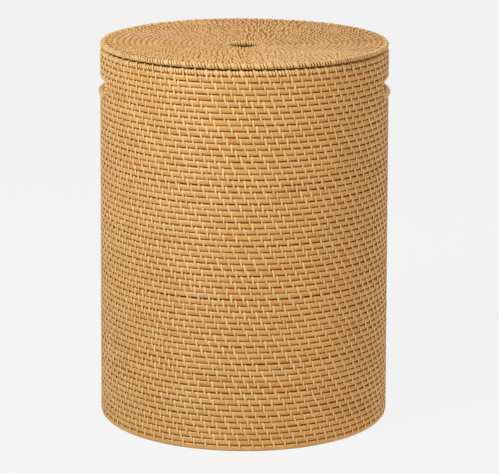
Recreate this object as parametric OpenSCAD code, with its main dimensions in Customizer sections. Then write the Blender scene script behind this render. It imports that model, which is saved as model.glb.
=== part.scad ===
// Round laundry basket of coiled cane with a loose lid.
// One round cane winds up the wall turn on turn, another winds the base and the lid as flat discs,
// and a strip of split peel laces each turn to the last one. The rim, the lid's edge, the finger
// hole and the two hand openings are bound closely with the same peel.
// Origin: centre of the foot, on the floor. +Z is up. The hand openings face +X and -X.

/* [Body] */
// Outer diameter at the rim
rim_d = 420; // [340:1:510]
// Outer diameter at the foot
foot_d = 428; // [340:1:520]
// Height of the open basket, from the floor to the top of the rim
body_h = 550; // [400:1:700]
// How far the middle of the base stands up, so that only the foot touches the floor
base_rise = 3; // [1:0.5:8]

/* [Cane] */
// Diameter of the round cane that is coiled
cane_d = 9.2; // [7:0.1:12]
// How far two turns press into each other under the lacing
cane_press = 0.6; // [0.4:0.1:1]
// Thickness of the binding, a layer of peel
peel_t = 1.2; // [0.8:0.1:1.6]

/* [Hand openings] */
// Clear length of a hand opening, across the wall
hand_w = 124; // [90:1:160]
// Wall turns left out for the fingers
hand_rows = 2; // [2:1:4]
// Wall turns between the rim and the binding of a hand opening
rows_above_hand = 3; // [2:1:6]
// How far the bound loop round a hand opening stands out from the wall
hand_proud = 2.4; // [1.4:0.1:4]

/* [Lid] */
// Diameter of the finger hole
hole_d = 48; // [30:1:60]
// How far the middle of the lid hangs below its edge
lid_sag = 6; // [2:0.5:12]
// Gap between the basket's mouth and the ring under the lid that centres it
seat_gap = 4; // [2:0.5:8]
// Gap left between the lid's edge and the rim it lies on
lid_gap = 0.3; // [0.2:0.1:0.6]

/* [Hidden] */
$fn = 96;
fit_gap = 0.1;          // air between a core and its binding, and between pieces laid side by side
wall_canes = 14;        // lengths of cane below the hand openings
disc_canes = 3;         // lengths of cane in the base, and in the lid
binding_slit = 2;       // where a binding is open, towards the turn it is laced to

cane_r = cane_d / 2;
turn_pitch = cane_d - cane_press;   // what a turn takes up before the rows are evened out
core_d = cane_d - 2 * peel_t - 2 * fit_gap;
rim_r = rim_d / 2;
foot_r = foot_d / 2;

// The wall, counted in rows from the floor; the last row is the rim.
rows = round(body_h / turn_pitch);
row_pitch = body_h / rows;
rim_row = rows - 1;
hand_band = hand_rows + 2;          // the rows left out, and one bound row on each side of them
hand_row = rim_row - rows_above_hand - hand_band;
hand_z = (hand_row + hand_band / 2) * row_pitch;
clear_h = hand_rows * row_pitch;
wall_out_r = foot_r + (rim_r - foot_r) * hand_z / body_h;
wall_in_r = wall_out_r - cane_d;
hand_out_r = wall_out_r + hand_proud;
hand_core_out_r = hand_out_r - peel_t;

function row_z(i) = (i + 0.5) * row_pitch;
function row_r(i) = foot_r + (rim_r - foot_r) * row_z(i) / body_h - cane_r;
function wall_first(cane) = floor(cane * hand_row / wall_canes);

// The base, counted in rings from the middle.
base_r = row_r(0) - cane_r - fit_gap;
base_rings = round(base_r / turn_pitch);
base_pitch = base_r / base_rings;

function base_ring_r(k) = (k + 0.5) * base_pitch;
function base_ring_z(k) = cane_r + base_rise * (1 - pow(base_ring_r(k) / base_r, 2));

// The lid, counted in rings from the finger hole; ring 0 borders the hole, the last is the edge.
eye_r = hole_d / 2 + cane_r;
edge_r = rim_r - cane_r;
edge_z = body_h + lid_gap + cane_r;
edge_ring = round((edge_r - eye_r) / turn_pitch);
lid_pitch = (edge_r - eye_r) / edge_ring;

function lid_ring_r(k) = eye_r + k * lid_pitch;
function lid_ring_z(k) = edge_z - lid_sag * (1 - pow(lid_ring_r(k) / edge_r, 2));

// The two turns under the lid that keep it over the mouth.
seat_r = row_r(rim_row) - cane_r - seat_gap - cane_r;
seat_z = min([for (k = [0:edge_ring]) let (dx = abs(lid_ring_r(k) - seat_r))
    if (dx < cane_d) lid_ring_z(k) - sqrt(cane_d * cane_d - dx * dx)]) - fit_gap;

// The first ring of a disc's length of cane, with the lengths cut about equal: rings share the area.
function disc_first(cane, first, last, inner, pitch) =
    cane >= disc_canes ? last + 1 :
    cane <= 0 ? first :
    let (outer = inner + (last - first + 1) * pitch)
    let (r = sqrt(inner * inner + (outer * outer - inner * inner) * cane / disc_canes))
    first + round((r - inner) / pitch);

CANE = [0.82, 0.61, 0.36];
PEEL = [0.90, 0.71, 0.45];

// Cut section of wall rows first to last, flat where the next cane lies above and below.
module rows_section(first, last) {
    intersection() {
        union() {
            for (i = [first:last]) translate([row_r(i), row_z(i)]) circle(d = cane_d);
        }
        translate([0, first * row_pitch])
            square([foot_r + rim_r, (last - first + 1) * row_pitch]);
    }
}

module wall_turns(first, last) {
    rotate_extrude() rows_section(first, last);
}

// Cut section of disc turns at centres [r, z], flat at radius low and high.
module disc_section(centres, low, high) {
    intersection() {
        union() {
            for (c = centres) translate(c) circle(d = cane_d);
        }
        translate([low, 0]) square([high - low, body_h + foot_r]);
    }
}

// Cut section of a bound turn's core.
module core_section(r, z) {
    translate([r, z]) circle(d = core_d);
}

// Cut section of the binding on a turn: it wraps the core and is open towards angle open, where
// the next turn lies at distance reach.
module binding_section(r, z, open, reach) {
    translate([r, z]) rotate(open) difference() {
        circle(d = cane_d);
        circle(d = core_d + 2 * fit_gap);
        translate([0, -binding_slit / 2]) square([cane_d, binding_slit]);
        translate([reach, -cane_d]) square([cane_d, 2 * cane_d]);
    }
}

module base_cane(cane) {
    first = disc_first(cane, 0, base_rings - 1, 0, base_pitch);
    last = disc_first(cane + 1, 0, base_rings - 1, 0, base_pitch) - 1;
    color(CANE) rotate_extrude() {
        disc_section([for (k = [first:last]) [base_ring_r(k), base_ring_z(k)]],
            first * base_pitch, (last + 1) * base_pitch);
        // The end of the cane is folded into the first turn and fills its middle.
        if (first == 0) translate([0, base_ring_z(0) - cane_r]) square([base_ring_r(0), cane_d]);
    }
}

module wall_cane(number) {
    color(CANE) wall_turns(wall_first(number - 1), wall_first(number) - 1);
}

// Outline of a hand opening, seen along the wall's thickness and grown by grow all round.
module hand_outline(grow) {
    h = clear_h + 2 * grow;
    straight = hand_w - clear_h;
    square([straight, h], center = true);
    for (side = [-1, 1]) translate([side * straight / 2, 0]) circle(d = h);
}

// The opening's outline as a solid, through the wall on side +1 or -1.
module hand_prism(side, grow) {
    translate([side * hand_out_r / 2, 0, hand_z])
        rotate([90, 0, side * 90]) linear_extrude(hand_out_r) hand_outline(grow);
}

// A curved sheet that follows the wall at the height of the hand openings.
module wall_shell(inner, outer) {
    translate([0, 0, hand_z - 2 * clear_h - cane_d]) difference() {
        cylinder(r = outer, h = 4 * clear_h + 2 * cane_d);
        translate([0, 0, -1]) cylinder(r = inner, h = 4 * clear_h + 2 * cane_d + 2);
    }
}

// The four rows beside the hand openings, in front (side -1) and behind (side +1).
module handle_level(side) {
    color(CANE) difference() {
        intersection() {
            wall_turns(hand_row, hand_row + hand_band - 1);
            translate([-foot_r - rim_r, side > 0 ? 0 : -foot_r - rim_r, 0])
                cube([2 * (foot_r + rim_r), foot_r + rim_r, body_h]);
        }
        for (way = [-1, 1]) hand_prism(way, row_pitch + fit_gap);
    }
}

// The loop of cane round a hand opening.
module handle_core(side) {
    color(CANE) intersection() {
        difference() {
            hand_prism(side, row_pitch);
            hand_prism(side, peel_t + fit_gap);
        }
        wall_shell(wall_in_r + fit_gap, hand_core_out_r - fit_gap);
    }
}

// The peel bound over that loop, through the opening: a channel open away from it.
module handle_binding(side) {
    color(PEEL) difference() {
        intersection() {
            difference() {
                hand_prism(side, row_pitch);
                hand_prism(side, 0);
            }
            wall_shell(wall_in_r - peel_t, hand_out_r);
        }
        intersection() {
            difference() {
                hand_prism(side, 2 * row_pitch);
                hand_prism(side, peel_t);
            }
            wall_shell(wall_in_r, hand_core_out_r);
        }
    }
}

module rim_core() {
    color(CANE) rotate_extrude() core_section(row_r(rim_row), row_z(rim_row));
}

module rim_binding() {
    color(PEEL) rotate_extrude() intersection() {
        binding_section(row_r(rim_row), row_z(rim_row), -90, row_pitch / 2);
        translate([0, body_h - row_pitch]) square([rim_d, row_pitch]);
    }
}

module lid_cane(cane) {
    first = disc_first(cane, 1, edge_ring - 1, eye_r + lid_pitch / 2, lid_pitch);
    last = disc_first(cane + 1, 1, edge_ring - 1, eye_r + lid_pitch / 2, lid_pitch) - 1;
    color(CANE) rotate_extrude()
        disc_section([for (k = [first:last]) [lid_ring_r(k), lid_ring_z(k)]],
            lid_ring_r(first) - lid_pitch / 2, lid_ring_r(last) + lid_pitch / 2);
}

module lid_edge_core() {
    color(CANE) rotate_extrude() core_section(edge_r, edge_z);
}

module lid_edge_binding() {
    color(PEEL) rotate_extrude() binding_section(edge_r, edge_z, 180, lid_pitch / 2);
}

module finger_hole_core() {
    color(CANE) rotate_extrude() core_section(eye_r, lid_ring_z(0));
}

module finger_hole_binding() {
    color(PEEL) rotate_extrude() binding_section(eye_r, lid_ring_z(0), 0, lid_pitch / 2);
}

// One turn of the ring under the lid: turn 0 lies against the lid, turn 1 below it.
module seat_cane(turn) {
    color(CANE) rotate_extrude() intersection() {
        translate([seat_r, seat_z - turn * row_pitch]) circle(d = cane_d);
        translate([0, seat_z - (turn == 0 ? 0.5 : 2.5) * row_pitch])
            square([rim_d, (turn == 0 ? 1.5 : 2) * row_pitch]);
    }
}

base_cane(0);  // base_cane_inner
base_cane(1);  // base_cane_middle
base_cane(2);  // base_cane_outer
wall_cane(1);  // wall_cane_01
wall_cane(2);  // wall_cane_02
wall_cane(3);  // wall_cane_03
wall_cane(4);  // wall_cane_04
wall_cane(5);  // wall_cane_05
wall_cane(6);  // wall_cane_06
wall_cane(7);  // wall_cane_07
wall_cane(8);  // wall_cane_08
wall_cane(9);  // wall_cane_09
wall_cane(10);  // wall_cane_10
wall_cane(11);  // wall_cane_11
wall_cane(12);  // wall_cane_12
wall_cane(13);  // wall_cane_13
wall_cane(14);  // wall_cane_14
handle_level(-1);  // handle_level_front
handle_level(1);  // handle_level_back
color(CANE) wall_turns(hand_row + hand_band, rim_row - 1);  // wall_cane_top
rim_core();
rim_binding();
handle_core(-1);  // handle_left_core
handle_binding(-1);  // handle_left_binding
handle_core(1);  // handle_right_core
handle_binding(1);  // handle_right_binding
lid_cane(0);  // lid_cane_inner
lid_cane(1);  // lid_cane_middle
lid_cane(2);  // lid_cane_outer
lid_edge_core();
lid_edge_binding();
finger_hole_core();
finger_hole_binding();
seat_cane(0);  // seat_cane_upper
seat_cane(1);  // seat_cane_lower
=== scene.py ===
"""A round laundry basket coiled from rattan cane, every turn sewn to the last one with split peel.

Shapes are worked out in the plane (radius, height) and carried round the basket's upright axis.
"""
import math

import bpy
import numpy as np
from mathutils import Matrix, Vector


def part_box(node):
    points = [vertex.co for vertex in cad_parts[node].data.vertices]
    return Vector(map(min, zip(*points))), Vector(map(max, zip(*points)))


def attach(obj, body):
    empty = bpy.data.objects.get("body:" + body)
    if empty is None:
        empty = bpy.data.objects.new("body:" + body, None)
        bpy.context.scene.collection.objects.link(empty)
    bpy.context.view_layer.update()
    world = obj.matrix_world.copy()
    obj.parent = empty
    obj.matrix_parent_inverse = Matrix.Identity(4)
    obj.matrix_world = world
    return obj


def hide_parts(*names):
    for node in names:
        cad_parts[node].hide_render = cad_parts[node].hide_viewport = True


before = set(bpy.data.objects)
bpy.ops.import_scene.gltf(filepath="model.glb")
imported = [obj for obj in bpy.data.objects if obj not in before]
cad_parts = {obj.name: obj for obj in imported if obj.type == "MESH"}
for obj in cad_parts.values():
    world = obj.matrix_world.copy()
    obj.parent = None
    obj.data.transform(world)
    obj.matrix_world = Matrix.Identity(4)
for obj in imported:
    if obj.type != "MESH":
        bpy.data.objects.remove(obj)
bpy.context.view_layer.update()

MM = 0.001
TURN = 2 * math.pi


# ---------------------------------------------------------------- sizes, read from the frame

def low(node):
    """Lowest corner of a node's box."""
    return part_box(node)[0]


def high(node):
    """Highest corner of a node's box."""
    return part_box(node)[1]


ROWS = 64                                   # turns of the wall, the rim included
BODY_H = high("rim_binding").z
ROW = BODY_H / ROWS
RIM_R = high("rim_binding").x
FOOT_R = high("wall_cane_01").x
CANE_R = (high("lid_edge_binding").z - low("lid_edge_binding").z) / 2
CORE_R = 4.45 * MM                          # a bare turn, a little slimmer than its place in the frame
BASE_CORE_R = 3.8 * MM                      # on the base the stitches must fit above the floor
PRESSED = 1.03                              # turns lie tight, each pressed a little into the next
WRAP_CORE_R = (high("rim_core").z - low("rim_core").z) / 2

HAND_ROW = round(low("handle_level_front").z / ROW)
HAND_BAND = round((high("handle_level_front").z - low("handle_level_front").z) / ROW)
HAND_Z = (HAND_ROW + HAND_BAND / 2) * ROW
HAND_HALF = high("handle_right_core").y     # half the length of a hand opening, its loop included
HAND_HIGH = HAND_BAND / 2 * ROW             # half its height, the loop included
HAND_OUT = high("handle_right_binding").x
HAND_PROUD = 2.4 * MM                       # how far a hand opening's lower bar stands out past its upper

CANE_SIDES = 12                             # points round the section of a cane
UNEVEN = 0.2 * MM                           # how far a turn of the wall strays from its circle
FIRM_UNEVEN = 0.1 * MM                      # the same for a turn that is held more firmly
FOOT_UNEVEN = 0.05 * MM
FOOT_LIFT = 0.3 * MM                        # brings the underside of the foot turn level with the floor
SETTLING = 0.12 * MM                        # how unevenly the turns of the wall lie on each other

STITCHES = 81                               # stitches in a turn of the wall
STITCH_W = 3.3 * MM
STITCH_T = 0.8 * MM
STITCH_SHIFT = 5.8 * MM                     # from a stitch to the one sewn beside it in the next turn
STITCH_SLANT = 3.8 * MM                     # sideways run of a stitch on the side that shows
STITCH_STRAY = 1.1 * MM                     # how much that run differs from stitch to stitch
STITCH_LOOSE = 0.035                        # one step of looseness, as a part of a stitch's size
LOOSEST = 1.5                               # most steps that a stitch may be looser or tighter

LID_STITCH = 8.6 * MM                       # from stitch to stitch on the lid
BASE_STITCH = 12 * MM                       # the same on the base
DISC_SHIFT = 0.93 * STITCH_SHIFT            # from a stitch to the one beside it in the next ring out
DISC_STITCH_W = 3.1 * MM
DISC_DIP = 0.42                             # how far a stitch is pulled down between two rings
DISC_HALF_SIDE = 4.15 * MM                  # half a ring's width, which leaves a dark gap beside it

WRAP_STEP = 4.5 * MM                        # from turn to turn of a close binding
WRAP_SHOWN = 6                              # points of a binding's way on the side that shows
RIM_WRAP_SLANT = 2.0 * MM
RIM_WRAP_W = 3.7 * MM
RIM_WRAP_T = 1.0 * MM
RIM_WRAP_STRAY = 0.4 * MM
RIM_WRAP_HALF = (3.6 * MM, 4.1 * MM)        # half the binding's height and depth
RIM_WRAP_SINK = np.array([0, -0.5 * MM])    # it is drawn down, clear of the lid

EDGE_STEP = 4.5 * MM                        # from turn to turn on the lid's edge, whose binding leans
EDGE_SLANT = 6.0 * MM
EDGE_SHOWN = 8
EDGE_EARLY = 1.0                            # how far round, as an angle, the edge's binding starts below it
EYE_SLANT = 1.6 * MM                        # lean of the binding round the finger hole
RING_WRAP_COVER = 0.72                      # width of these bindings' strips as a part of their step
RING_WRAP_T = 1.1 * MM
RING_WRAP_STRAY = 0.3 * MM
RING_WRAP_HALF = (4.0 * MM, 3.6 * MM)       # half the binding's width and height
RING_LIFT = np.array([0, 0.5 * MM])         # keeps the strips of the lid's edge clear of the rim's
EDGE_SUNK = 0.86                            # height of the stitches over the edge, in cane radii
SEAT_STITCHES = STITCHES - 5

HAND_CANE_HALF = (4.4 * MM, 3.4 * MM)       # half the depth and height of the cane in a hand opening's loop
HAND_CANE_SIDES = 10
HAND_WRAP_HALF = (5.0 * MM, 3.9 * MM)       # the same for the middle of the peel that is bound over it
HAND_WRAP_W = 4.5 * MM

UP, DOWN = (0.0, 1.0), (0.0, -1.0)
OUT = (1.0, 0.0)


def wall_turn(i):
    """Centre (radius, height) of wall turn i: the wall runs straight from the foot to the rim."""
    z = (i + 0.5) * ROW
    return np.array([FOOT_R + (RIM_R - FOOT_R) * z / BODY_H - CANE_R, z])


def wall_rows(node):
    """First and last wall turn of a length of cane."""
    first = round(low(node).z / ROW)
    return first, first + round((high(node).z - low(node).z) / ROW) - 1


EYE_R = high("finger_hole_binding").x - CANE_R
EDGE_R = high("lid_edge_binding").x - CANE_R
EYE_Z = (high("finger_hole_binding").z + low("finger_hole_binding").z) / 2
EDGE_Z = (high("lid_edge_binding").z + low("lid_edge_binding").z) / 2
LID_RINGS = round((EDGE_R - EYE_R) / ROW)
LID_PITCH = (EDGE_R - EYE_R) / LID_RINGS
LID_SAG = (EDGE_Z - EYE_Z) / (1 - (EYE_R / EDGE_R) ** 2)


def lid_turn(k):
    """Centre of ring k of the lid, a shallow dish: the height falls with the square of the radius."""
    r = EYE_R + k * LID_PITCH
    return np.array([r, EDGE_Z - LID_SAG * (1 - (r / EDGE_R) ** 2)])


def last_lid_ring(node):
    """Number of the outermost ring of a length of cane in the lid."""
    return round((high(node).x - EYE_R) / LID_PITCH - 0.5)


BASE_R = high("base_cane_outer").x
BASE_RINGS = round(BASE_R / ROW)
BASE_PITCH = BASE_R / BASE_RINGS
BASE_RISE = high("base_cane_inner").z - 2 * CANE_R


def base_turn(k):
    """Centre of ring k of the base, which rises a little towards the middle."""
    r = (k + 0.5) * BASE_PITCH
    return np.array([r, CANE_R + BASE_RISE * (1 - (r / BASE_R) ** 2)])


def last_base_ring(node):
    """Number of the outermost ring of a length of cane in the base."""
    return round(high(node).x / BASE_PITCH) - 1


SEAT_R = high("seat_cane_lower").x - CANE_R
SEAT_Z = low("seat_cane_lower").z + CANE_R + ROW


def seat_turn(k):
    """Centre of the ring under the lid: turn 0 lies against the lid, turn 1 below it."""
    return np.array([SEAT_R, SEAT_Z - k * ROW])


# ---------------------------------------------------------------- shader wires

class Wire:
    """A socket whose numbers are worked out with +, - and *, each adding its Math node."""

    def __init__(self, tree, socket):
        self.tree, self.socket = tree, socket

    def maths(self, operation, *others, clamp=False):
        """A Math node on this wire and the others, kept within 0 and 1 where clamp is set."""
        node = self.tree.nodes.new("ShaderNodeMath")
        node.operation, node.use_clamp = operation, clamp
        for slot, value in zip(node.inputs, (self, *others)):
            feed(self.tree, slot, value)
        return Wire(self.tree, node.outputs[0])

    def __add__(self, other):
        return self.maths("ADD", other)

    def __sub__(self, other):
        return self.maths("SUBTRACT", other)

    def __mul__(self, other):
        return self.maths("MULTIPLY", other)

    def __rsub__(self, other):
        return self.maths("MULTIPLY", -1.0).maths("ADD", other)

    __radd__, __rmul__ = __add__, __mul__

    def between(self, start, end):
        """0 below start, 1 above end, and straight in between."""
        return ((self - start) * (1 / (end - start))).maths("ADD", 0.0, clamp=True)


def feed(tree, socket, value):
    """Links a wire to a socket, or sets the socket's own value."""
    if isinstance(value, Wire):
        tree.links.new(value.socket, socket)
    else:
        socket.default_value = value


VARNISH_ROUGHNESS = 0.28
BARE_SHINE = 0.12                           # the weak reflection of the cane under its varnish


class Finish:
    """One material and the nodes in it."""

    def __init__(self, name):
        self.material = bpy.data.materials.new(name)
        self.material.use_nodes = True
        self.tree = self.material.node_tree
        self.tree.nodes.clear()

    def node(self, kind, settings, inputs, output=0):
        """A node of a kind, with its settings made first, then its sockets; gives back one output."""
        made = self.tree.nodes.new(kind)
        for key, value in settings.items():
            if key == "stops":
                self.stops(made.color_ramp, value)
            else:
                setattr(made, key, value)
        for socket, value in inputs.items():
            feed(self.tree, made.inputs[socket], value)
        return Wire(self.tree, made.outputs[output]) if len(made.outputs) else None

    def stops(self, ramp, stops):
        """Sets a ramp's colours at their positions."""
        while len(ramp.elements) < len(stops):
            ramp.elements.new(1.0)
        for element, (position, colour) in zip(ramp.elements, stops):
            element.position, element.color = position, (*colour, 1.0)

    def mix(self, factor, first, second):
        """A colour between two colours: the first at factor 0, the second at 1."""
        settings = {"data_type": "RGBA", "blend_type": "MIX", "clamp_factor": True}
        wanted = {0: factor, 6: first, 7: second}
        full = {k: (*v, 1.0) if isinstance(v, tuple) else v for k, v in wanted.items()}
        return self.node("ShaderNodeMix", settings, full, 2)

    def attribute(self, name, output):
        """What the mesh says at each point: output 1 is a vector, 2 a number."""
        return self.node("ShaderNodeAttribute", {"attribute_name": name}, {}, output)

    def noise(self, vector, seed, scale, detail=2.0, rough=0.5):
        """Cloudy noise, different for each seed.

        scale is how often it changes along a strand, a metre, and across the strand's two directions.
        """
        stretched = self.node("ShaderNodeVectorMath", {"operation": "MULTIPLY"}, {0: vector, 1: scale})
        inputs = {"Vector": stretched, "W": seed, "Scale": 1.0, "Detail": detail, "Roughness": rough}
        return self.node("ShaderNodeTexNoise", {"noise_dimensions": "4D"}, inputs)

    def surface(self, base, roughness, varnish, height, depth, strength):
        """Joins colour, roughness, a thin varnish and relief to the shader."""
        bump = self.node("ShaderNodeBump", {},
                         {"Height": height, "Distance": depth, "Strength": strength})
        inputs = {"Base Color": base, "Roughness": roughness, "Normal": bump, "Coat Weight": varnish,
                  "Coat Roughness": VARNISH_ROUGHNESS, "Specular IOR Level": BARE_SHINE}
        shader = self.node("ShaderNodeBsdfPrincipled", {}, inputs)
        self.node("ShaderNodeOutputMaterial", {}, {"Surface": shader})
        return self.material


def shade(red, green, blue):
    """A colour as a painter mixes it, 0 to 255, turned into light by the sRGB formula."""
    parts = np.array([red, green, blue]) / 255
    light = np.where(parts > 0.04045, ((parts + 0.055) / 1.055) ** 2.4, parts / 12.92)
    return tuple(float(v) for v in light)


# ---------------------------------------------------------------- materials

def cane_finish(name, painted_shade, varnish):
    """Round cane: honey gold in long patches, fine streaks along it, painted shade where two turns meet.

    The second argument, 0 to 1, is how far the whole cane is darkened to brown, as painted shade; varnish is
    how much of it is glossy. The strand's third number, -1 to 1, is the way round to the neighbouring turn:
    its square marks where two turns meet, which is darkened as painted shade.
    """
    make = Finish(name)
    strand = make.attribute("strand", 1)
    seed = make.attribute("seed", 2)
    patches = make.noise(strand, seed, (7.0, 0.25, 0.25), 2.0, 0.6)
    base = make.node("ShaderNodeValToRGB", {"stops": [
        (0.30, shade(172, 129, 64)), (0.44, shade(186, 140, 76)),
        (0.56, shade(185, 133, 71)), (0.72, shade(176, 114, 54))]}, {"Fac": patches})
    cells = make.noise(strand, seed + 7.3, (46.0, 0.5, 0.5), 1.0)
    base = make.mix(cells.between(0.35, 0.75) * 0.5, base, shade(200, 162, 103))
    streaks = make.noise(strand, seed + 3.1, (38.0, 9.0, 9.0), 3.0, 0.65)
    base = make.mix(streaks.between(0.45, 0.75) * 0.5, base, shade(142, 89, 36))
    flecks = make.noise(strand, seed + 11.7, (260.0, 3.5, 3.5), 1.0)
    base = make.mix(flecks.between(0.70, 0.80) * 0.5, base, shade(107, 62, 27))
    # painted shade: the whole cane darkened to brown, for the darker copy on the lid
    base = make.mix(painted_shade, base, shade(122, 66, 10))
    side = make.node("ShaderNodeSeparateXYZ", {}, {"Vector": strand}, 2)
    # painted shade: darker and redder towards the sides of the turn, where it curves in to meet its
    # neighbours
    base = make.mix((side * side).between(0.3, 0.75) * 0.4, base, shade(158, 88, 30))
    # painted shade: dark brown where two turns meet, where shade falls in the groove between them
    seam_shade = (side * side).between(0.40, 0.80)
    base = make.mix(seam_shade * 0.95, base, shade(84, 33, 0))
    roughness = streaks * 0.2 + 0.42
    return make.surface(base, roughness, (1.0 - seam_shade) * varnish, streaks, 0.25 * MM, 0.5)


def peel_finish(name, painted_shade, varnish):
    """Split peel: pale and glossy, with fine lines along the strip and edges darkened as painted shade.

    The strand's second number, -1 to 1, is the way across the strip. The second argument and varnish are as
    for cane.
    """
    make = Finish(name)
    strand = make.attribute("strand", 1)
    seed = make.attribute("seed", 2)
    lengths = make.noise(strand, seed, (5.0, 0.1, 0.1), 2.0, 0.6)
    base = make.node("ShaderNodeValToRGB", {"stops": [
        (0.30, shade(190, 152, 95)), (0.45, shade(203, 167, 111)),
        (0.60, shade(206, 169, 117)), (0.75, shade(195, 147, 91))]}, {"Fac": lengths})
    turns = make.noise(strand, seed + 5.9, (34.0, 0.1, 0.1), 1.0)
    base = make.mix(turns.between(0.50, 0.75) * 0.5, base, shade(180, 130, 69))
    lines = make.noise(strand, seed + 2.3, (30.0, 3.2, 1.0), 3.0, 0.6)
    base = make.mix(lines.between(0.45, 0.75) * 0.4, base, shade(166, 116, 61))
    across = make.node("ShaderNodeSeparateXYZ", {}, {"Vector": strand}, 1)
    # painted shade: the whole strip darkened a little, for the darker copy on the lid
    base = make.mix(painted_shade, base, shade(176, 112, 38))
    # painted shade: the strip's edges darkened, for the shade beside each raised strip
    edge = (across * across).between(0.4, 1.0)
    base = make.mix(edge * 0.65, base, shade(115, 64, 18))
    roughness = lines * 0.2 + 0.35
    return make.surface(base, roughness, (1.0 - edge) * varnish, lines, 0.15 * MM, 0.4)


CANE = cane_finish("round_cane", 0.0, 0.3)
# the lid's cane, darkened as painted shade for the shade on the bare cane between the lid's raised stitches
SHADED_LID_CANE = cane_finish("lid_cane", 0.8, 0.1)
PEEL = peel_finish("split_peel", 0.0, 0.32)
# the lid's peel, a little darker as painted shade, with less varnish
SHADED_LID_PEEL = peel_finish("lid_peel", 0.1, 0.15)


# ---------------------------------------------------------------- meshes from grids

def grid_quads(rows, columns, closed):
    """Corners of the quads of a grid whose columns close on themselves, and whose rows may."""
    i = np.arange(rows if closed else rows - 1)[:, None]
    j = np.arange(columns)[None, :]
    here, there = i * columns, (i + 1) % rows * columns
    return np.stack([here + j, there + j, there + (j + 1) % columns, here + (j + 1) % columns],
                    axis=-1).reshape(-1, 4)


def outward(points, quads):
    """The quads, turned over if together they enclose a negative volume."""
    a, b, c, d = (points[quads[:, k]] for k in range(4))
    volume = np.einsum("ij,ij->", a, np.cross(b, c)) + np.einsum("ij,ij->", a, np.cross(c, d))
    return quads if volume > 0 else quads[:, ::-1]


UNSHADED = 0.5                              # how far round, 0 to 1, a cane stays as light as its face


class Strand:
    """A cane or a strip: rows of points round it, its length so far, and a seed for its colour.

    points is (rows, columns, 3), along is (rows,) in metres, section is (columns, 2): where round
    the strand each column lies.
    """

    def __init__(self, points, along, section, seed, closed=True):
        self.points, self.closed, self.seed = points, closed, seed
        rows, columns = points.shape[:2]
        self.values = np.concatenate([np.broadcast_to(along[:, None, None], (rows, columns, 1)),
                                      np.broadcast_to(section[None], (rows, columns, 2))], axis=-1)

    def bare_below(self):
        """Keeps the underside as light as the face, for a turn with nothing under it."""
        self.values[..., 2] = np.maximum(self.values[..., 2], -UNSHADED)

    def mesh_parts(self, start):
        """Points, quads, end caps and values; the faces count their corners from start."""
        rows, columns = self.points.shape[:2]
        flat = self.points.reshape(-1, 3)
        quads = outward(flat, grid_quads(rows, columns, self.closed))
        caps = np.empty((0, columns), int)
        if not self.closed:
            first = np.arange(columns)
            last = first + (rows - 1) * columns
            turned = quads[0, 0] != 0
            caps = np.array([first if turned else first[::-1], last[::-1] if turned else last])
        return flat, quads + start, caps + start, self.values.reshape(-1, 3)


def piece(name, body, material, strands, replaces=()):
    """One object made of several strands, riding on a body."""
    points, quads, caps, values, seeds, start = [], [], [], [], [], 0
    for strand in strands:
        p, q, c, v = strand.mesh_parts(start)
        points.append(p)
        quads.append(q)
        caps.append(c)
        values.append(v)
        seeds.append(np.full(len(p), strand.seed))
        start += len(p)
    sizes = np.concatenate([np.full(len(q), q.shape[1]) for q in quads + caps])
    corners = np.concatenate([q.ravel() for q in quads + caps])
    mesh = bpy.data.meshes.new(name)
    mesh.vertices.add(start)
    mesh.vertices.foreach_set("co", np.concatenate(points).astype(np.float32).ravel())
    mesh.loops.add(len(corners))
    mesh.loops.foreach_set("vertex_index", corners.astype(np.int32))
    mesh.polygons.add(len(sizes))
    mesh.polygons.foreach_set("loop_start", np.concatenate([[0], np.cumsum(sizes)[:-1]]).astype(np.int32))
    mesh.polygons.foreach_set("use_smooth", np.ones(len(sizes), bool))
    mesh.update(calc_edges=True)
    strand_values = mesh.attributes.new("strand", "FLOAT_VECTOR", "POINT")
    strand_values.data.foreach_set("vector", np.concatenate(values).astype(np.float32).ravel())
    seed_values = mesh.attributes.new("seed", "FLOAT", "POINT")
    seed_values.data.foreach_set("value", np.concatenate(seeds).astype(np.float32))
    mesh.materials.append(material)
    made = bpy.data.objects.new(name, mesh)
    bpy.context.scene.collection.objects.link(made)
    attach(made, body)
    if replaces:
        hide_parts(*replaces)


# ---------------------------------------------------------------- canes

def rounded(columns, half_face, half_side, square):
    """A superellipse: |cos| and |sin| to the power 2 / square, which flattens it as square rises from 2.

    Gives the way round of each point, as (cosine, sine), and its place.
    """
    angle = np.arange(columns) / columns * TURN
    cos, sin = np.cos(angle), np.sin(angle)
    section = np.stack([cos, sin], axis=-1)
    shape = np.sign(section) * np.abs(section) ** (2 / square)
    return section, shape * np.array([half_face, half_side])


WAVES = np.arange(3, 12)                    # times that each wave of a turn's unevenness goes round


def waver(angle, size, rng):
    """A gentle, closed unevenness: a sum of tall · sin(wave · angle + phase) over the waves."""
    phase = rng.uniform(0, TURN, len(WAVES))
    tall = rng.normal(0, 1, len(WAVES)) / np.sqrt(len(WAVES))
    return size * (tall[:, None] * np.sin(WAVES[:, None] * angle[None] + phase[:, None])).sum(0)


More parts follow.
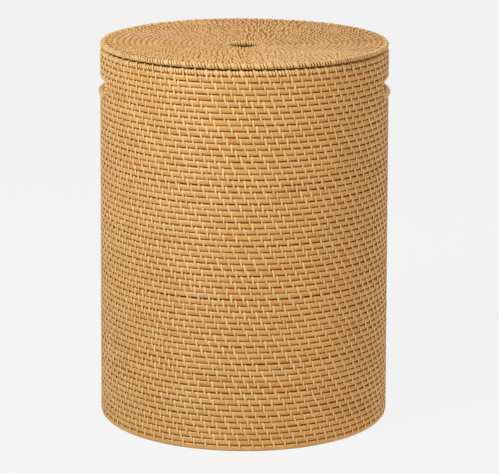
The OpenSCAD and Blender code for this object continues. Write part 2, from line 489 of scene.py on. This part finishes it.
def cane_turn(centre, face, seed, rng, steps=192, half_face=CORE_R, half_side=PRESSED * CORE_R,
              between=None, uneven=UNEVEN, square=2.5):
    """A turn of cane round the upright axis, a rounded section carried round a circle.

    A point is centre + waver + its place in the section, turned so that its first direction is face,
    the direction (radial, up) of the side that shows. between gives the first and last angle of a
    turn that is only an arc.
    """
    closed = between is None
    first, last = (0.0, TURN) if closed else between
    angle = first + (last - first) * np.arange(steps) / (steps if closed else steps - 1)
    section, shape = rounded(CANE_SIDES, half_face, half_side, square)
    face = np.array(face)
    side = np.array([-face[1], face[0]])
    flat = shape[:, :1] * face + shape[:, 1:] * side
    radius = centre[0] + waver(angle, uneven, rng)[:, None] + flat[None, :, 0]
    height = centre[1] + waver(angle, uneven, rng)[:, None] + flat[None, :, 1]
    points = np.stack([radius * np.cos(angle)[:, None], radius * np.sin(angle)[:, None], height], axis=-1)
    return Strand(points, angle * centre[0], section, seed, closed)


# ---------------------------------------------------------------- strips of peel

# The section of a strip: across it in half widths, and out of it in half thicknesses.
STRIP_SECTION = np.array([(-1.0, -1.0), (-0.72, 1.0), (0.72, 1.0), (1.0, -1.0)])


def strip(centre, normal, width, thick, seed, closed=True):
    """A flat strip with bevelled edges carried along a path, its broad side square to the normal.

    A point is centre + across · its first number · width / 2 + normal · its second · thick / 2, and
    across is the path's direction × the normal.
    """
    ahead = np.roll(centre, -1, 0) - np.roll(centre, 1, 0)
    if not closed:
        ahead[0], ahead[-1] = centre[1] - centre[0], centre[-1] - centre[-2]
    ahead /= np.linalg.norm(ahead, axis=1)[:, None]
    across = np.cross(ahead, normal)
    across /= np.linalg.norm(across, axis=1)[:, None]
    normal = np.cross(across, ahead)
    half = np.broadcast_to(width, len(centre))[:, None, None] / 2
    points = (centre[:, None] + across[:, None] * STRIP_SECTION[None, :, :1] * half
              + normal[:, None] * STRIP_SECTION[None, :, 1:] * thick / 2)
    along = np.concatenate([[0], np.cumsum(np.linalg.norm(np.diff(centre, axis=0), axis=1))])
    return Strand(points, along, STRIP_SECTION, seed, closed)


def uneven_width(width, spread, most, count, steps, rng):
    """Widths along a strip: each of its count rounds, so many steps long, has its own.

    It is width times a normal number round 1 of that spread, kept within 1 - most and 1 + most.
    """
    return width * np.repeat(np.clip(rng.normal(1, spread, count), 1 - most, 1 + most), steps)


# Way of a stitch in cane radii from the new turn's centre: towards the older turn, and out of the face.
STITCH_WAY = np.array([(-0.98, 0.05), (-0.84, 0.60), (-0.44, 0.95), (0.20, 1.04), (0.96, 1.01), (1.72, 1.04),
                       (2.18, 0.92), (2.42, 0.55), (2.36, -0.50), (2.05, -0.97), (0.95, -1.02),
                       (-0.10, -1.02), (-0.80, -0.66)])
STITCH_SHOWN = 8                            # points of it on the side that shows
BETWEEN_CROWNS = 4                          # the point midway between the crowns of the two turns


def stitch_way(new, old, face, half_face=CORE_R, dip=0.0):
    """The stitch's way round two neighbouring turns, in the plane (radius, height).

    A point is new + towards · its first number + face · its second, and towards leads to the old
    turn. dip is how far the stitch is pulled down between the two crowns, in cane radii.
    """
    towards = (old - new) / np.linalg.norm(old - new)
    face_part = STITCH_WAY[:, 1:] - dip * (np.arange(len(STITCH_WAY)) == BETWEEN_CROWNS)[:, None]
    return new + STITCH_WAY[:, :1] * towards * CORE_R + face_part * np.array(face) * half_face


def binding_way(centre, towards, face, half_side, half_face, early=0.0, steps=10):
    """The way of a close binding: an ellipse round one turn, from its newer edge over the face.

    A point is centre - cos(angle) · towards · half_side + sin(angle) · face · half_face. early is how
    far round, as an angle, it starts before that edge.
    """
    angle = np.arange(steps) / steps * TURN - early
    towards, face = np.array(towards), np.array(face)
    return centre - np.cos(angle)[:, None] * towards * half_side + np.sin(angle)[:, None] * face * half_face


def sewing(way, shown, starts, hand, slant, width, thick, seed, rng, closed=True, stray=STITCH_STRAY):
    """A strip that goes round a way again and again, one round for each start angle.

    On the side that shows it leans by slant, give or take stray; behind it runs on to the next
    start. The point on round j at step m has the angle start(j) + lean(m) / radius, with lean
    growing evenly over each part, and lies on the way made larger from its middle by 1 + the
    round's looseness, which also grows along the round.
    """
    steps = len(way)
    rounds = len(starts) if closed else len(starts) - 1
    start = np.sort(hand * starts)
    ahead = np.append(start[1:], start[0] + TURN)[:rounds] - start[:rounds]
    front = np.clip(np.arange(steps) / (shown - 1), 0, 1)
    behind = np.clip((np.arange(steps) - shown + 1) / (steps - shown + 1), 0, 1)
    lean = (slant + stray * rng.normal(0, 1, rounds))[:, None] / way[:, 0].mean()
    angle = start[:rounds, None] + lean * front + (ahead[:, None] - lean) * behind
    angle = hand * angle.ravel()
    loose = np.clip(rng.normal(0, 1, (rounds, 1, 1)), -LOOSEST, LOOSEST)
    loose = STITCH_LOOSE * loose * np.linspace(0, 1, steps)[None, :, None]
    middle = way.mean(0)
    flat = (middle + (way - middle)[None] * (1 + loose)).reshape(-1, 2)
    tangent = np.roll(way, -1, 0) - np.roll(way, 1, 0)
    out = np.stack([tangent[:, 1], -tangent[:, 0]], axis=-1)
    out *= np.sign(np.einsum("ij,ij->", out, way - middle))
    out = np.tile(out / np.linalg.norm(out, axis=1)[:, None], (rounds, 1))
    cos, sin = np.cos(angle), np.sin(angle)
    centre = np.stack([flat[:, 0] * cos, flat[:, 0] * sin, flat[:, 1]], axis=-1)
    normal = np.stack([out[:, 0] * cos, out[:, 0] * sin, out[:, 1]], axis=-1)
    return strip(centre, normal, uneven_width(width, 0.10, 0.25, rounds, steps, rng), thick, seed, closed)


def stitches(way, starts, hand, seed, rng, width=STITCH_W, closed=True):
    """The stitches that tie a turn to the one before it."""
    return sewing(way, STITCH_SHOWN, starts, hand, STITCH_SLANT, width, STITCH_T, seed, rng, closed)


# How unevenly the stitches are set. All but the last two are parts of the step between two stitches.
START_STRAY = 0.065
DISC_START_STRAY = 0.06
GAP_STRAY = 0.1
SHIFT_STRAY = 0.08                          # a part of the shift between two turns
EVENED = 6                                  # times that the starts of a disc's ring are evened out


def even_out(angles, pull=0.3):
    """Moves each start by pull, 0 to 1, towards the middle of its neighbours."""
    before = np.roll(angles, 1)
    after = np.roll(angles, -1)
    before[0] -= TURN
    after[-1] += TURN
    return angles + pull * ((before + after) / 2 - angles)


def wall_starts(rng):
    """Start angles of the stitches of every wall turn: each is sewn beside the one below it."""
    angles = np.arange(STITCHES) / STITCHES * TURN
    rows = []
    for i in range(ROWS):
        step = STITCH_SHIFT * rng.normal(1, SHIFT_STRAY) / wall_turn(i)[0]
        angles = even_out(angles - step + rng.normal(0, START_STRAY, STITCHES) * TURN / STITCHES)
        rows.append(angles.copy())
    return rows


def disc_starts(turn, rings, step, hand, rng):
    """Start angles of the stitches of a disc, ring by ring outwards.

    Each stitch is sewn beside one of the last ring; where a ring has room for more, new ones are
    set halfway between the two that stand widest apart.
    """
    count = round(TURN * turn(1)[0] / step)
    angles = np.arange(count) / count * TURN
    found = {}
    for k in range(1, rings + 1):
        radius = turn(k)[0]
        more = max(0, round(TURN * radius / step) - len(angles))
        after = np.append(angles[1:], angles[0] + TURN)
        wide = after - angles + rng.normal(0, GAP_STRAY, len(angles)) * step / radius
        gaps = np.argsort(-wide)[:more]
        angles = np.sort(np.concatenate([angles, (angles[gaps] + after[gaps]) / 2]))
        for _ in range(EVENED):
            angles = even_out(angles, 0.5)
        angles = angles - hand * DISC_SHIFT / radius
        found[k] = angles + rng.normal(0, DISC_START_STRAY, len(angles)) * step / radius
    return found


def close_starts(radius, step=WRAP_STEP):
    """Start angles of a close binding: as many as fit round at that step, evenly spread."""
    count = round(TURN * radius / step)
    return np.arange(count) / count * TURN


# ---------------------------------------------------------------- the wall

def beside_opening(angles, side, clear):
    """The starts on the front (side -1) or back (side 1) arc, clear of both hand openings."""
    wrapped = (angles + math.pi) % TURN - math.pi
    limit = math.asin(clear / (HAND_OUT - CANE_R))
    on_arc = wrapped * side
    return wrapped[(on_arc > limit) & (on_arc < math.pi - limit)]


def hand_reach(i):
    """Half the length that a hand opening's loop takes from wall turn i: its ends are round."""
    straight = HAND_HALF - HAND_HIGH
    off = abs((i + 0.5) * ROW - HAND_Z)
    return straight + math.sqrt(HAND_HIGH ** 2 - off ** 2)


# The lowest stitches start inside the foot turn, go over the outermost ring of the base, down on
# its far side and back under it, so nothing shows outside. Millimetres from the foot turn's centre.
FOOT_WAY = np.array([(-1.0, 3.0), (-5.0, 4.6), (-9.0, 5.2), (-12.4, 3.6), (-13.1, 0.2), (-12.2, -2.8),
                     (-9.0, -3.5), (-5.2, -3.3), (-2.2, -1.4)]) * MM


def wall_length(node, starts, rng):
    """One length of cane in the wall, and the peel that sews its turns down."""
    first, last = wall_rows(node)
    canes, strips = [], []
    for i in range(first, last + 1):
        turn = wall_turn(i)
        way = stitch_way(turn, wall_turn(i - 1), OUT) if i else turn + FOOT_WAY
        seed = rng.uniform(0, 100)
        settled = np.array([0.0, rng.normal(0, SETTLING) if i else FOOT_LIFT])
        cane = cane_turn(turn + settled, OUT, seed, rng, uneven=UNEVEN if i else FOOT_UNEVEN)
        if i == 0:
            cane.bare_below()
        canes.append(cane)
        strips.append(stitches(way, starts[i], 1, seed, rng))
    piece(node.replace("cane", "turns"), "basket", CANE, canes, [node])
    piece(node.replace("cane", "sewing"), "basket", PEEL, strips)


def handle_level(node, side, starts, rng):
    """The turns between the two hand openings, on the front or the back."""
    first, last = wall_rows(node)
    canes, strips = [], []
    for i in range(first, last + 1):
        turn = wall_turn(i)
        seed = rng.uniform(0, 100)
        limit = math.asin(hand_reach(i) / turn[0])
        between = sorted([side * limit, side * (math.pi - limit)])
        canes.append(cane_turn(turn, OUT, seed, rng, steps=90, between=between, uneven=FIRM_UNEVEN))
        clear = hand_reach(i) + STITCH_W if i > first else 0
        way = stitch_way(turn, wall_turn(i - 1), OUT)
        strips.append(stitches(way, beside_opening(starts[i], side, clear), 1, seed, rng, closed=False))
    name = node.replace("handle_level", "wall_turns")
    piece(name, "basket", CANE, canes, [node])
    piece(name.replace("turns", "sewing"), "basket", PEEL, strips)


def rim(starts, rng):
    """The top turn: a slim core bound closely, and the stitches that tie it to the turn below."""
    i = ROWS - 1
    turn = wall_turn(i)
    seed = rng.uniform(0, 100)
    core = cane_turn(turn, OUT, seed, rng, half_face=WRAP_CORE_R, half_side=WRAP_CORE_R, uneven=0)
    piece("rim_cane", "basket", CANE, [core], ["rim_core"])
    bound = binding_way(turn + RIM_WRAP_SINK, DOWN, OUT, *RIM_WRAP_HALF)
    close = sewing(bound, WRAP_SHOWN, close_starts(turn[0]), 1, RIM_WRAP_SLANT, RIM_WRAP_W, RIM_WRAP_T,
                   seed, rng, stray=RIM_WRAP_STRAY)
    sewn = stitches(stitch_way(turn, wall_turn(i - 1), OUT), starts[i], 1, seed + 1, rng)
    piece("rim_peel", "basket", PEEL, [close], ["rim_binding"])
    piece("rim_sewing", "basket", PEEL, [sewn])


# ---------------------------------------------------------------- hand openings

def hand_loop(steps, side):
    """Points on the middle line of a hand opening's loop, and its two directions across.

    The line is a straight stretch above and below and a half circle at each end, laid on the
    wall: its sideways place is kept, and the distance from the axis follows the wall's circle,
    plus proud, which grows evenly from the upper bar to the lower.
    """
    middle = HAND_HIGH - ROW / 2
    straight = HAND_HALF - HAND_HIGH
    length = 4 * straight + TURN * middle
    s = np.arange(steps) / steps * length
    arc = math.pi * middle
    parts = [s < 2 * straight, s < 2 * straight + arc, s < 4 * straight + arc, s >= 4 * straight + arc]
    right = (s - 2 * straight) / middle
    left = (s - 4 * straight - arc) / middle
    u = np.select(parts, [s - straight, straight + middle * np.sin(right), 3 * straight + arc - s,
                          -straight - middle * np.sin(left)])
    v = np.select(parts, [middle + 0 * s, middle * np.cos(right), -middle + 0 * s, -middle * np.cos(left)])
    away_u = np.select(parts, [0 * s, np.sin(right), 0 * s, -np.sin(left)])
    away_v = np.select(parts, [1 + 0 * s, np.cos(right), -1 + 0 * s, -np.cos(left)])
    proud = HAND_PROUD * (0.4 - 0.5 * v / middle)   # v runs from middle at the top to -middle
    radius = wall_turn((HAND_Z + v) / ROW - 0.5)[0] + proud
    x = np.sqrt(radius ** 2 - u ** 2)
    line = np.stack([side * x, side * u, HAND_Z + v], axis=-1)
    out = np.stack([side * x / radius, side * u / radius, 0 * u], axis=-1)
    along_wall = np.stack([-side * u / radius, side * x / radius, 0 * u], axis=-1)
    away = along_wall * away_u[:, None] + np.array([0, 0, 1.0]) * away_v[:, None]
    return line, out, away, length


def hand_opening(side, name, rng):
    """The loop of cane round one hand opening and the peel bound closely over it.

    The peel's middle is the loop's line + out · cos(angle) · depth + away · sin(angle) · height.
    """
    seed = rng.uniform(0, 100)
    line, out, away, length = hand_loop(180, side)
    section, shape = rounded(HAND_CANE_SIDES, *HAND_CANE_HALF, 2.2)
    points = line[:, None] + out[:, None] * shape[None, :, :1] + away[:, None] * shape[None, :, 1:]
    along = np.arange(len(line)) / len(line) * length
    piece(f"{name}_cane", "basket", CANE, [Strand(points, along, section, seed)], [f"{name}_core"])
    turns, steps = round(length / WRAP_STEP), 10
    line, out, away, length = hand_loop(turns * steps, side)
    angle = np.arange(turns * steps) / steps * TURN
    cos, sin = np.cos(angle)[:, None], np.sin(angle)[:, None]
    deep, tall = HAND_WRAP_HALF
    centre = line + out * cos * deep + away * sin * tall
    normal = out * cos * tall + away * sin * deep
    broad = uneven_width(HAND_WRAP_W, 0.07, 0.2, turns, steps, rng)
    close = strip(centre, normal, broad, STITCH_T, seed)
    piece(f"{name}_peel", "basket", PEEL, [close], [f"{name}_binding"])


# ---------------------------------------------------------------- the base and the lid

def ring_steps(radius, least):
    """Points along a ring: eight for every 50 mm, and no fewer than least."""
    return max(least, 8 * round(TURN * radius / (50 * MM)))


def disc_length(node, body, turn, first, last, face, starts, hand, rng, half_face=CORE_R):
    """One length of cane in a disc, and the peel that sews each ring to the one inside it."""
    canes, strips = [], []
    for k in range(first, last + 1):
        centre = turn(k)
        seed = rng.uniform(0, 100)
        canes.append(cane_turn(centre, face, seed, rng, steps=ring_steps(centre[0], 32), half_face=half_face,
                               half_side=DISC_HALF_SIDE, uneven=FIRM_UNEVEN, square=2.05))
        if k > 0:
            way = stitch_way(centre, turn(k - 1), face, half_face, DISC_DIP)
            strips.append(stitches(way, starts[k], hand, seed, rng, DISC_STITCH_W))
    # the lid takes the copies darkened as painted shade
    cane, peel = (SHADED_LID_CANE, SHADED_LID_PEEL) if body == "lid" else (CANE, PEEL)
    piece(node.replace("cane", "turns"), body, cane, canes, [node])
    piece(node.replace("cane", "sewing"), body, peel, strips)


def base(rng):
    """The base: rings sewn outwards from a small first ring."""
    starts = disc_starts(base_turn, BASE_RINGS - 1, BASE_STITCH, 1, rng)
    first = 0
    for part in ("inner", "middle", "outer"):
        last = last_base_ring(f"base_cane_{part}")
        disc_length(f"base_cane_{part}", "basket", base_turn, first, last, DOWN, starts, 1, rng, BASE_CORE_R)
        first = last + 1


def lid(rng):
    """The lid: rings sewn outwards from the bound finger hole to the bound edge."""
    starts = disc_starts(lid_turn, LID_RINGS, LID_STITCH, -1, rng)
    first = 1
    for part in ("inner", "middle", "outer"):
        last = last_lid_ring(f"lid_cane_{part}")
        disc_length(f"lid_cane_{part}", "lid", lid_turn, first, last, UP, starts, -1, rng)
        first = last + 1
    bound_ring("lid_edge", lid_turn(LID_RINGS), lid_turn(LID_RINGS - 1), 1, EDGE_STEP, EDGE_SLANT,
               EDGE_EARLY, EDGE_SHOWN, rng)
    bound_ring("finger_hole", lid_turn(0), lid_turn(1), -1, WRAP_STEP, EYE_SLANT, 0.0, WRAP_SHOWN, rng)
    edge_sewing(starts[LID_RINGS], rng)
    seat(rng)


def bound_ring(name, centre, beside, side, step, slant, early, shown, rng):
    """A ring of the lid: a slim core and a close binding.

    The binding starts on the side away from the ring beside it where side is 1, and next to that
    ring where side is -1.
    """
    seed = rng.uniform(0, 100)
    core = cane_turn(centre, UP, seed, rng, steps=ring_steps(centre[0], 48), half_face=WRAP_CORE_R,
                     half_side=WRAP_CORE_R, uneven=0)
    piece(f"{name}_cane", "lid", CANE, [core], [f"{name}_core"])
    towards = side * (beside - centre) / np.linalg.norm(beside - centre)
    bound = binding_way(centre + RING_LIFT, towards, UP, *RING_WRAP_HALF, early)
    close = sewing(bound, shown, close_starts(centre[0], step), -1, slant, step * RING_WRAP_COVER,
                   RING_WRAP_T, seed, rng, stray=RING_WRAP_STRAY)
    piece(f"{name}_peel", "lid", PEEL, [close], [f"{name}_binding"])


def edge_sewing(starts, rng):
    """Stitches that hold the lid's edge to the ring inside it, sunk between the turns of its binding."""
    way = stitch_way(lid_turn(LID_RINGS), lid_turn(LID_RINGS - 1), UP, EDGE_SUNK * CORE_R) + RING_LIFT
    sewn = stitches(way, starts[::2], -1, rng.uniform(0, 100), rng)
    piece("lid_edge_sewing", "lid", PEEL, [sewn])


def seat(rng):
    """The two turns under the lid, sewn to the lid and to each other."""
    above = lid_turn(round((SEAT_R - EYE_R) / LID_PITCH))
    for k, (node, old) in enumerate((("seat_cane_upper", above), ("seat_cane_lower", seat_turn(0)))):
        seed = rng.uniform(0, 100)
        turn = seat_turn(k)
        cane = cane_turn(turn, OUT, seed, rng, uneven=FIRM_UNEVEN)
        piece(node.replace("cane", "turn"), "lid", CANE, [cane], [node])
        starts = np.arange(SEAT_STITCHES) / SEAT_STITCHES * TURN + rng.uniform(0, 1)
        sewn = stitches(stitch_way(turn, old, OUT), starts, -1, seed, rng)
        piece(node.replace("cane", "sewing"), "lid", PEEL, [sewn])


# ---------------------------------------------------------------- floor, light and camera

FLOOR_HALF = 30.0
FLOOR_GLOW = 0.95                           # part of the floor's light that is its own
SURROUND = 0.07                             # strength of the even light from all sides
CAMERA_BACK, CAMERA_HIGH = 3.57, 1.138347   # metres from the basket's foot
PITCH, YAW, ROLL = 0.2403, 0.0023, 0.0036   # the camera's tilts in radians


def studio():
    """A pale floor that glows like a light table, an even surround, a lamp from the upper left, two suns."""
    floor = bpy.data.objects.new("floor", bpy.data.meshes.new("floor"))
    half = FLOOR_HALF
    corners = [(-half, -half, 0), (half, -half, 0), (half, half, 0), (-half, half, 0)]
    floor.data.from_pydata(corners, [], [(0, 1, 2, 3)])
    bpy.context.scene.collection.objects.link(floor)
    make = Finish("pale_floor")
    lit = make.node("ShaderNodeBsdfDiffuse", {}, {"Color": (0.8, 0.8, 0.8, 1.0)})
    glow = make.node("ShaderNodeEmission", {}, {"Color": (0.906, 0.906, 0.909, 1.0)})
    both = make.node("ShaderNodeMixShader", {}, {0: FLOOR_GLOW, 1: lit, 2: glow})
    make.node("ShaderNodeOutputMaterial", {}, {"Surface": both})
    floor.data.materials.append(make.material)
    world = bpy.data.worlds.new("surround")
    world.use_nodes = True
    world.node_tree.nodes["Background"].inputs["Color"].default_value = (1.0, 1.0, 1.0, 1.0)
    world.node_tree.nodes["Background"].inputs["Strength"].default_value = SURROUND
    bpy.context.scene.world = world
    bpy.context.scene.view_settings.view_transform = "Standard"
    softbox("key", 76.0, 1.0, (-1.3, -1.35, 1.9), (1.0, 1.0, 0.99))
    soft_sun("right", 2.0, 40, (1.0, -0.6, 0.5), (1.0, 0.85, 0.65))
    soft_sun("behind", 1.15, 40, (0.3, 1.0, 0.6), (1.0, 0.93, 0.78))


def softbox(name, power, size, place, tint):
    """A square lamp at a place, turned towards the basket."""
    light = bpy.data.lights.new(name, "AREA")
    light.energy, light.size, light.color = power, size, tint
    made = bpy.data.objects.new(name, light)
    aim = Vector((0, 0, 0.35)) - Vector(place)
    made.location = place
    made.rotation_euler = aim.to_track_quat("-Z", "Y").to_euler()
    bpy.context.scene.collection.objects.link(made)


def soft_sun(name, strength, spread, source, tint):
    """A sun that shines from the direction source, spread over an angle in degrees."""
    light = bpy.data.lights.new(name, "SUN")
    light.energy, light.angle, light.color = strength, math.radians(spread), tint
    made = bpy.data.objects.new(name, light)
    made.rotation_euler = Vector(source).to_track_quat("Z", "Y").to_euler()
    bpy.context.scene.collection.objects.link(made)


def camera():
    """A long lens a little above the lid, looking slightly down."""
    data = bpy.data.cameras.new("camera")
    data.lens = 178.5
    data.sensor_width = 36.0
    data.clip_end = 200.0
    made = bpy.data.objects.new("camera", data)
    level = math.cos(PITCH)
    forward = Vector((math.sin(YAW) * level, math.cos(YAW) * level, -math.sin(PITCH)))
    right = forward.cross(Vector((0, 0, 1))).normalized()
    above = right.cross(forward)
    turned_right = right * math.cos(ROLL) + above * math.sin(ROLL)
    turned_up = above * math.cos(ROLL) - right * math.sin(ROLL)
    turn = Matrix((turned_right, turned_up, -forward)).transposed().to_4x4()
    made.matrix_world = Matrix.Translation((0, -CAMERA_BACK, CAMERA_HIGH)) @ turn
    bpy.context.scene.collection.objects.link(made)
    bpy.context.scene.camera = made


def build():
    """Every piece of the basket, from the foot up to the lid."""
    rng = np.random.default_rng(64)
    starts = wall_starts(rng)
    base(rng)
    for node in [f"wall_cane_{n:02d}" for n in range(1, 15)] + ["wall_cane_top"]:
        wall_length(node, starts, rng)
    handle_level("handle_level_front", -1, starts, rng)
    handle_level("handle_level_back", 1, starts, rng)
    rim(starts, rng)
    hand_opening(-1, "handle_left", rng)
    hand_opening(1, "handle_right", rng)
    lid(rng)


camera()
studio()
build()
